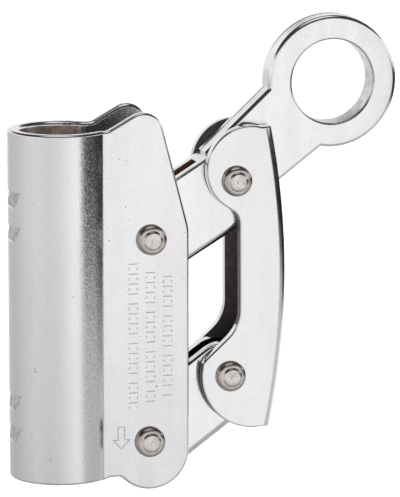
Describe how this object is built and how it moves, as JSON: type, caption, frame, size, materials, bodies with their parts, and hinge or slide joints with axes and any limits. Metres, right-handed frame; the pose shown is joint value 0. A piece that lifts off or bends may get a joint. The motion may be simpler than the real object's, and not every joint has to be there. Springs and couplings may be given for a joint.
{
  "type": "rope grab",
  "caption": "Rope grab: a bent-sheet body with a rope tube, an eye lever and a cam arm that pinch the rope against the tube, joined by a folded link.",
  "frame": {"origin": "on the rope tube's axis, at the tube's lower end", "axes": "+Z along the rope tube towards the ear, +X towards the connector eye, -Y is the front plate"},
  "size_m": [0.1262, 0.0328, 0.1491],
  "materials": {
    "plated_sheet": "bright plating on bent sheet, light vertical draw marks and fine scratches",
    "plated_link": "bright plating on folded sheet, smooth",
    "plated_forging": "bright plating on a tumbled forging, soft edges",
    "pin_steel": "turned stainless steel, spun rivet heads",
    "spring_steel": "drawn wire, dull",
    "washer_steel": "punched, dull plating",
    "bush_bronze": "plain bronze sleeve"
  },
  "bodies": {
    "body": {"body_shell": "plated_sheet", "upper_body_pin": "pin_steel", "lower_body_pin": "pin_steel", "lever_bush": "bush_bronze", "arm_bush": "bush_bronze", "lever_spring": "spring_steel", "arm_spring": "spring_steel", "lever_washer_front": "washer_steel", "lever_washer_back": "washer_steel", "arm_washer_front": "washer_steel", "arm_washer_back": "washer_steel"},
    "eye_lever": {"eye_lever": "plated_forging"},
    "lower_cam_arm": {"lower_cam_arm": "plated_forging"},
    "link": {"link_channel": "plated_link", "upper_link_pin": "pin_steel", "lower_link_pin": "pin_steel", "upper_link_washer_front": "washer_steel", "upper_link_washer_back": "washer_steel", "lower_link_washer_front": "washer_steel", "lower_link_washer_back": "washer_steel"}
  },
  "joints": [
    {"name": "lever_pivot", "type": "hinge", "parent": "body", "child": "eye_lever", "pos_m": [0.02675, 0, 0.077], "axis": [0, 1, 0], "range_deg": [0, 50], "stiffness_Nm_per_rad": 0.12, "springref_deg": -126.05, "deforming": ["lever_spring"]},
    {"name": "arm_pivot", "type": "hinge", "parent": "body", "child": "lower_cam_arm", "pos_m": [0.02615, 0, 0.0117], "axis": [0, 1, 0], "range_deg": [0, 51], "stiffness_Nm_per_rad": 0.12, "springref_deg": -126.05, "deforming": ["arm_spring"]},
    {"name": "link_pivot", "type": "hinge", "parent": "eye_lever", "child": "link", "pos_m": [0.05515, 0, 0.0943], "axis": [0, 1, 0], "range_deg": [-52, 0]}
  ],
  "couplings": [
    {"joint": "arm_pivot", "follows": "lever_pivot", "ratio": 1.0175},
    {"joint": "link_pivot", "follows": "lever_pivot", "ratio": -1.038}
  ]
}
